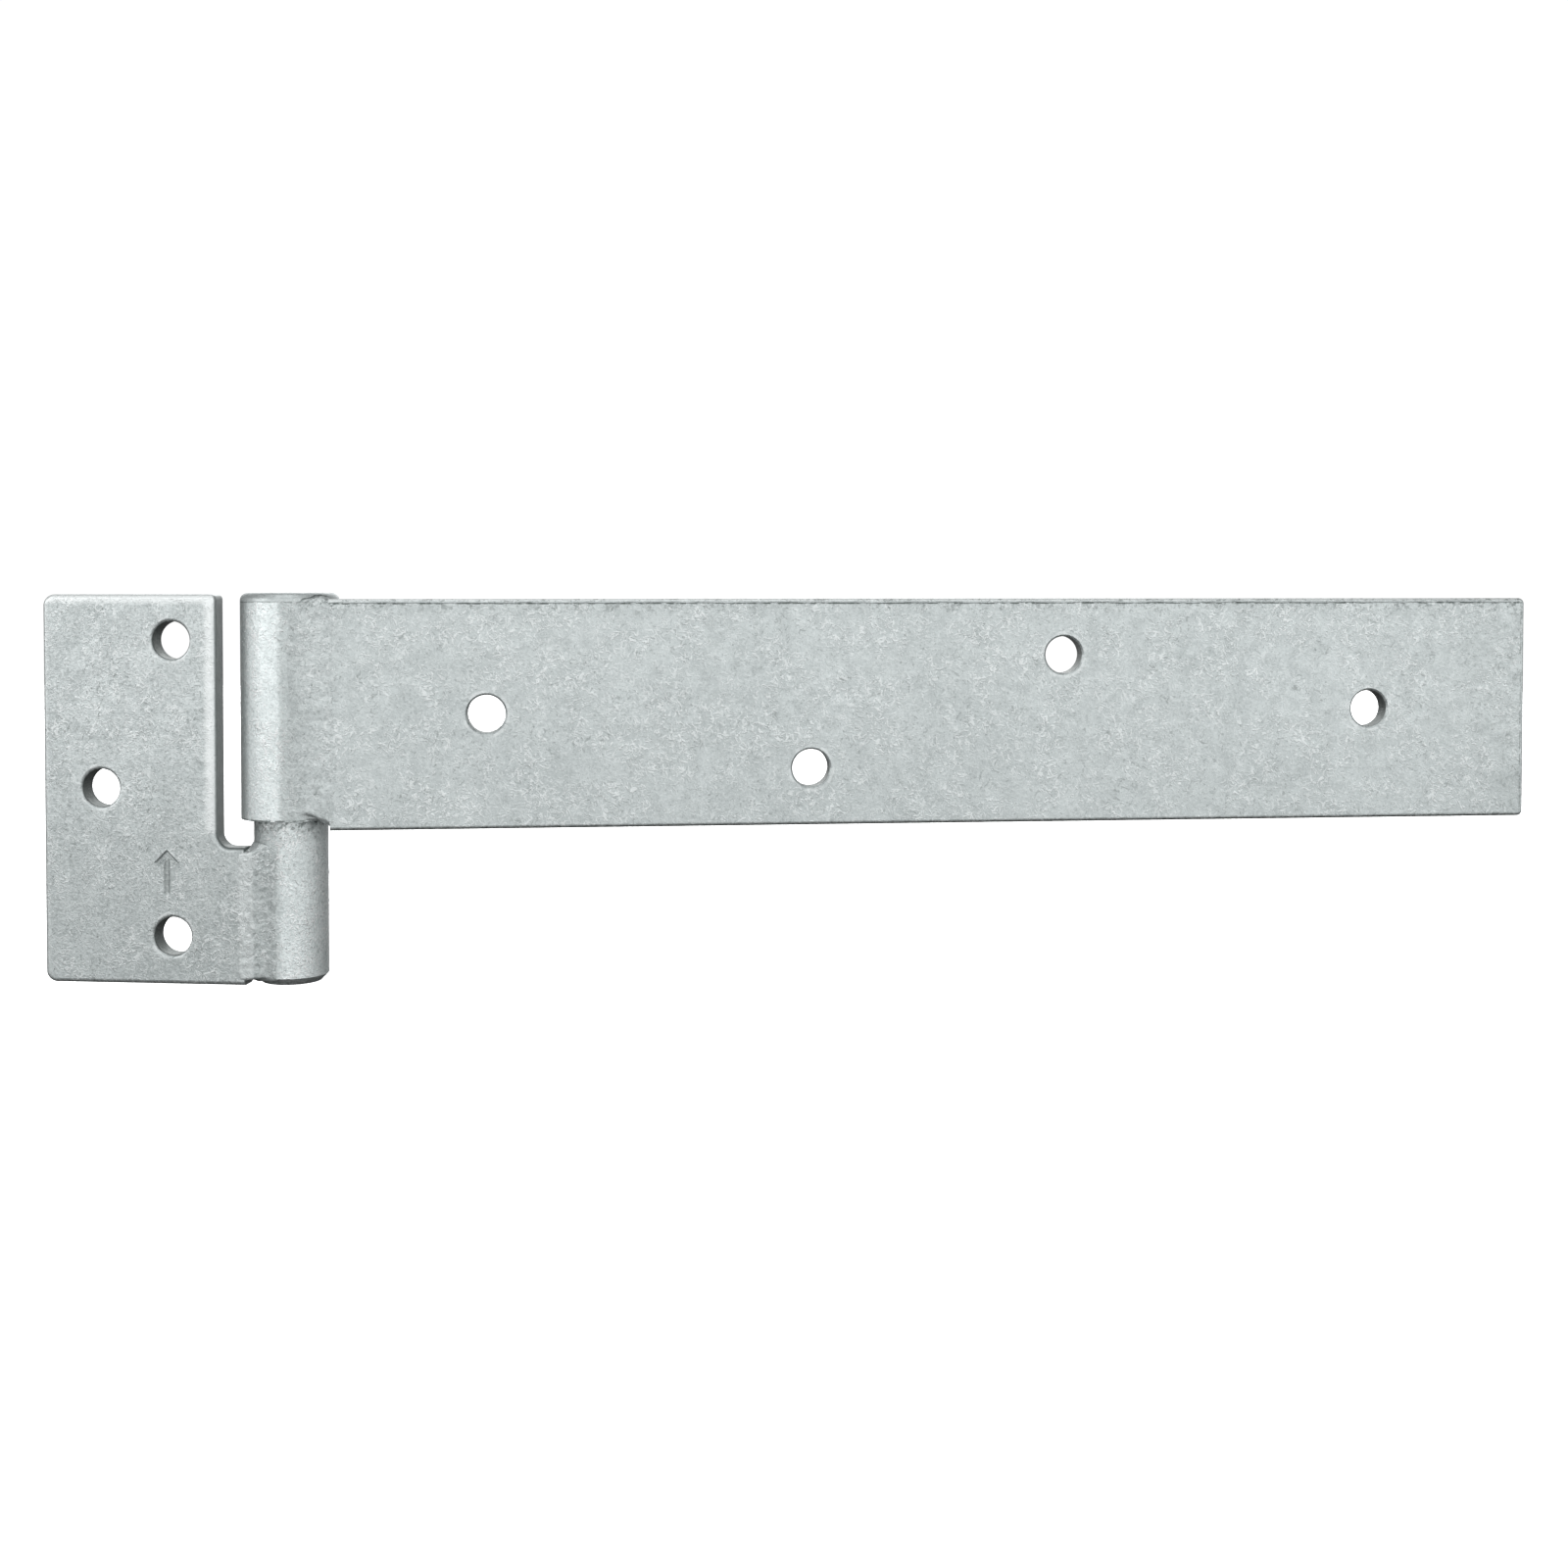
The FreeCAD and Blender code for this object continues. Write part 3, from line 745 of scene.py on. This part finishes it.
def make_strap_pimples(draws, material):
    """Zinc pimples on both faces of the strap and round the barrel."""
    low, high = leaf_box("strap_plate", STRAP_TURN)
    barrel_low, barrel_high = leaf_box("barrel", STRAP_TURN)
    barrel_heights = (barrel_low.z + 1.0, barrel_high.z - 1.0)
    inset = Vector((4.0, 0, 1.6))
    lowest, highest = low + inset, high - inset
    holes = hole_centres("strap_hole", STRAP_TURN)
    found = lumps_on_face(draws, 110, lowest, highest, low.y, -1, holes, (0.09, 0.19))
    found += lumps_on_face(draws, 90, lowest, highest, high.y, 1, holes, (0.10, 0.24))
    found += lumps_on_round(draws, 40, barrel_high.x, (-85, 2), barrel_heights, (0.08, 0.18))
    found += lumps_on_round(draws, 40, barrel_high.x, (140, 270), barrel_heights, (0.08, 0.20))
    mesh = lumps_mesh("strap_leaf_pimples", found, 7)
    add_piece(mesh, STRAP_TURN, MOVING_LEAF, material)


def make_barrel_spatter(draws, material):
    """Spatter of the weld: along its toe on the strap, denser low down, and at its top."""
    face = leaf_box("strap_plate", STRAP_TURN)[0].y
    mouth, seam = leaf_box("barrel")[0].z, leaf_box("barrel")[1].z
    toe = 10.0
    found = []
    for _ in range(34):
        height = mouth + (seam - mouth) * draws.random() ** 1.6
        place = Vector((toe + draws.gauss(0.0, 0.3), face - 0.03, height))
        found.append((place, Vector((0, -1, 0)), draws.uniform(0.08, 0.20), 0.5))
    for _ in range(16):
        place = Vector((draws.uniform(0.0, 11.0), face + 0.25, draws.uniform(82.4, 83.6)))
        found.append((place, Vector((0, -1, 0.3)), draws.uniform(0.10, 0.22), 0.6))
    mesh = lumps_mesh("barrel_weld_spatter", found, 8)
    add_piece(mesh, STRAP_TURN, MOVING_LEAF, material)


# ---------------------------------------------------------------- materials of the pieces

def lower_shade():
    """Painted shade: the lower part of the frame leaf, which is a little darker."""
    return darker_area("Z", 48.0, 22.0, 0.12)


def plate_zinc():
    low, high = leaf_box("frame_plate")
    arm_top = leaf_box("frame_weld")[1].z
    stamp = (low.x + STAMP_MIDDLE[0], low.z + STAMP_MIDDLE[1])
    holes = hole_centres("frame_hole")
    marks = [
        # painted highlights on the rounded edges beside the notch, along the top and down the left
        # side
        highlit_edge("X", notch_edge(), -3.2, 0.95, above=arm_top + 3.0),
        highlit_edge("Z", high.z, -2.6, 0.95),
        highlit_edge("X", low.x, 1.6, 0.30),
        # painted shade on the lower part, and dirt specks along the bottom edge
        lower_shade(),
        dark_specks("Z", low.z, 1.2, 0.5),
        # painted shade in the holes, painted highlight rings round them, painted shade on the sides,
        # on the ledge beside the notch and in the stamped recess
        dark_holes(*holes, low.y + 0.2, 0.85),
        bright_rims(*holes, 0.45),
        shaded_sides(0.65),
        shaded_ledge(notch_edge() - 0.5, 0.85),
        shaded_recess(low.y, stamp, STAMP_REACH, 0.3, 0.3),
    ]
    return zinc("zinc_plate", marks=marks, mottling=1.6, grain=2.2, lines=1.5, lightness=0.97)


def strap_zinc():
    low, high = leaf_box("strap_plate", STRAP_TURN)
    holes = hole_centres("strap_hole", STRAP_TURN)
    marks = [
        # the upper edge: a painted highlight on its rounded band, painted shade in the line under
        # its rolled lap, and dirt specks below
        highlit_edge("Z", high.z, -0.7, 0.6),
        dark_line("Z", high.z - 0.95, 0.34, 1.0),
        dark_specks("Z", high.z - 1.0, -3.5, 0.5),
        # the lower edge: painted shade along it, and dirt specks
        dark_line("Z", low.z + 0.25, 0.3, 0.45),
        dark_specks("Z", low.z, 1.6, 0.4),
        # the far end
        darker_area("X", high.x - 34.0, high.x - 8.0, 0.07),
        dark_specks("X", high.x, -16.0, 0.35),
        dark_line("X", high.x - 0.9, 0.25, 0.5),
        # painted shade in the holes and on the sides, painted highlight rings round the holes
        dark_holes(*holes, low.y + 0.15, 0.9),
        bright_rims(*holes, 0.5),
        shaded_sides(0.4),
    ]
    return zinc("zinc_strap", STRAP_TURN, marks, mottling=0.9, grain=1.0, lines=1.3,
                lightness=1.02)


def cap_zinc():
    seam = leaf_box("barrel")[1].z
    # a dark joint line at the seam, and a painted shadow above the bead's end; the cap's zinc is
    # painted much darker than the barrel's, painted shade on its rounded top
    marks = [dark_line("Z", seam + 0.02, 0.16, 0.6, 0.05), shadow_arc(seam)]
    return zinc("zinc_cap", STRAP_TURN, marks, mottling=1.0, lines=0.5, lightness=0.95)


def barrel_zinc():
    mouth, seam = leaf_box("barrel")[0].z, leaf_box("barrel")[1].z
    side = leaf_box("barrel", STRAP_TURN)[0].x
    marks = [
        # a dark joint line at the cap's seam, and painted shade along the barrel's mouth
        dark_line("Z", seam, 0.2, 0.6, 0.1),
        dark_line("Z", mouth + 0.1, 0.4, 0.9, 0.05),
        # painted shade on both sides of the barrel's light stripe; with the zinc painted much
        # lighter than the plate's, the stripe itself is a painted highlight
        darker_area("X", side + 3.1, side + 1.2, 0.45, 0.5),
        darker_area("X", -1.9, -0.2, 0.36, 0.7),
    ]
    return zinc("zinc_barrel", STRAP_TURN, marks, mottling=1.1, grain=1.5, lines=1.3,
                lightness=1.42, specks=0.4)


def bar_zinc():
    foot, mouth = leaf_box("pivot_bar")[0].z, leaf_box("barrel")[0].z
    marks = [
        # painted shade on the downward chamfer at the bar's foot
        dark_line("Z", foot + 0.4, 0.9, 0.4, 0.2),
        # painted shade on both sides of the bar's light stripe; with the zinc painted much lighter
        # than the plate's, the stripe itself is a painted highlight
        darker_area("X", 3.0, 6.8, 0.15, 0.8),
        darker_area("X", 1.2, -0.6, 0.26, 0.9),
        # painted shade below the barrel's mouth, drawn as dark specks
        dark_specks("Z", mouth - 0.5, -4.0, 0.8, 0.47),
    ]
    return zinc("zinc_bar", marks=marks, mottling=1.4, grain=1.9, lines=1.5, lightness=1.33,
                specks=0.4)


def frame_bead_zinc():
    marks = [
        lower_shade(),
        # painted shade in the sunken middle, and a painted highlight on the ridge of the left toe
        darker_area("X", -6.2, -5.0, 0.08, 0.5),
        highlit_edge("X", -6.3, 0.6, 0.25),
    ]
    return zinc("zinc_frame_bead", marks=marks, mottling=1.6, grain=2.2, lines=1.5, lightness=1.0)


def barrel_bead_zinc():
    seam = leaf_box("barrel")[1].z
    marks = [
        shadow_arc(seam),
        dark_specks("Z", seam + 1.4, -5.5, 0.6, 0.5),
        # painted shade beside the barrel's light stripe
        darker_area("X", 5.0, 1.0, 0.12, 0.6),
    ]
    return zinc("zinc_barrel_bead", STRAP_TURN, marks, mottling=1.2, grain=1.6, lines=1.2,
                lightness=0.96)


def lip_zinc():
    return zinc("zinc_lip", STRAP_TURN, mottling=1.0, grain=1.5, lines=0.4, lightness=0.95)


def pimple_zinc():
    # the lumps' zinc is painted lighter than the plate's: a painted glint on each lump and bit of
    # spatter
    return zinc("zinc_pimples", mottling=0.5, lines=0.0, lightness=1.2)


def paint_frame():
    nodes = frame["nodes"]
    set_material(nodes["frame_plate"], plate_zinc())
    set_material(nodes["strap_plate"], strap_zinc())
    set_material(nodes["pivot_bar"], bar_zinc())
    set_material(nodes["barrel"], barrel_zinc())
    set_material(nodes["barrel_cap"], cap_zinc())


# ---------------------------------------------------------------- studio

def floor_paint():
    material = bpy.data.materials.new("floor_paint")
    Graph(material).surface("ShaderNodeBsdfDiffuse", {"Color": rgba(FLOOR_PAINT)})
    return material


def make_stage():
    """A white floor below the hinge, which casts no light back on it."""
    height = cad_box[0][2] - FLOOR_DROP
    directions = [(-1, -1), (1, -1), (1, 1), (-1, 1)]
    corners = [(x * FLOOR_REACH, y * FLOOR_REACH, height) for x, y in directions]
    mesh = bpy.data.meshes.new("floor")
    mesh.from_pydata(corners, [], [(0, 1, 2, 3)])
    floor = bpy.data.objects.new("floor", mesh)
    bpy.context.scene.collection.objects.link(floor)
    set_material(floor, floor_paint())
    floor.visible_diffuse = False
    floor.visible_glossy = False
    return floor


def toward(azimuth, elevation):
    """A direction.  Azimuth 0 is straight in front of the plate, + to the right."""
    a, e = math.radians(azimuth), math.radians(elevation)
    return Vector((math.sin(a) * math.cos(e), -math.cos(a) * math.cos(e), math.sin(e)))


def make_world():
    """White to the camera; for lighting, a tent with a few soft glows."""
    world = bpy.data.worlds.new("studio")
    bpy.context.scene.world = world
    graph = Graph(world)
    direction = graph.node("ShaderNodeTexCoord").outputs["Generated"]
    light = None
    for azimuth, elevation, sharpness, strength in TENT:
        facing = graph.vector_math("DOT_PRODUCT", direction, toward(azimuth, elevation))
        facing = graph.math("MAXIMUM", facing.outputs["Value"], 0.0)
        glow = graph.math("MULTIPLY", graph.math("POWER", facing, sharpness), strength)
        light = glow if light is None else graph.math("ADD", light, glow)
    seen = graph.node("ShaderNodeBackground", {"Color": rgba(BACKGROUND),
                                               "Strength": BACKGROUND_STRENGTH}).outputs[0]
    lit = graph.node("ShaderNodeBackground", {"Color": rgba(TENT_COLOUR),
                                              "Strength": light}).outputs[0]
    camera_ray = graph.node("ShaderNodeLightPath").outputs["Is Camera Ray"]
    mixed = graph.node("ShaderNodeMixShader", {0: camera_ray, 1: lit, 2: seen}).outputs[0]
    graph.node("ShaderNodeOutputWorld", {"Surface": mixed})


def add_softbox(name, away, distance, size, power, aim):
    """A square lamp that lies away from the point it is aimed at."""
    lamp = bpy.data.lights.new(name, "AREA")
    lamp.shape = "SQUARE"
    lamp.size = size
    lamp.energy = power
    holder = bpy.data.objects.new(name, lamp)
    holder.location = aim + away * distance
    holder.rotation_euler = away.to_track_quat("Z", "Y").to_euler()
    bpy.context.scene.collection.objects.link(holder)


def make_floor_sun(floor):
    """A soft sun from straight above that lights the floor alone."""
    sun = bpy.data.lights.new("floor_sun", "SUN")
    sun.energy = FLOOR_SUN
    sun.angle = FLOOR_SUN_SPREAD
    holder = bpy.data.objects.new("floor_sun", sun)
    bpy.context.scene.collection.objects.link(holder)
    receivers = bpy.data.collections.new("lit_by_floor_sun")
    receivers.objects.link(floor)
    holder.light_linking.receiver_collection = receivers


def make_camera():
    lens = bpy.data.cameras.new("camera")
    lens.sensor_width = 36.0
    lens.lens = CAMERA_LENS
    lens.shift_y = CAMERA_SHIFT_UP
    lens.clip_start = 0.01
    camera = bpy.data.objects.new("camera", lens)
    pin = Vector(mount("hinge_axis")["pos_m"])
    camera.location = pin + CAMERA_OFFSET
    camera.rotation_euler = Euler((math.pi / 2 + CAMERA_PITCH, 0.0, CAMERA_YAW))
    bpy.context.scene.collection.objects.link(camera)
    bpy.context.scene.camera = camera


paint_frame()
make_frame_bead(frame_bead_zinc())
make_barrel_bead(barrel_bead_zinc())
make_strap_lip(lip_zinc())

lump_zinc = pimple_zinc()
frame_draws = random.Random(41)
make_frame_pimples(frame_draws, lump_zinc)
make_frame_spatter(frame_draws, lump_zinc)
strap_draws = random.Random(97)
make_strap_pimples(strap_draws, lump_zinc)
make_barrel_spatter(strap_draws, lump_zinc)

make_camera()
make_world()
hinge_middle = Vector((cad_box[0][i] + cad_box[1][i] for i in range(3))) / 2
add_softbox("key_softbox", toward(-55, 12), distance=1.3, size=0.35, power=2.2, aim=hinge_middle)
make_floor_sun(make_stage())
bpy.context.scene.view_settings.view_transform = "Standard"
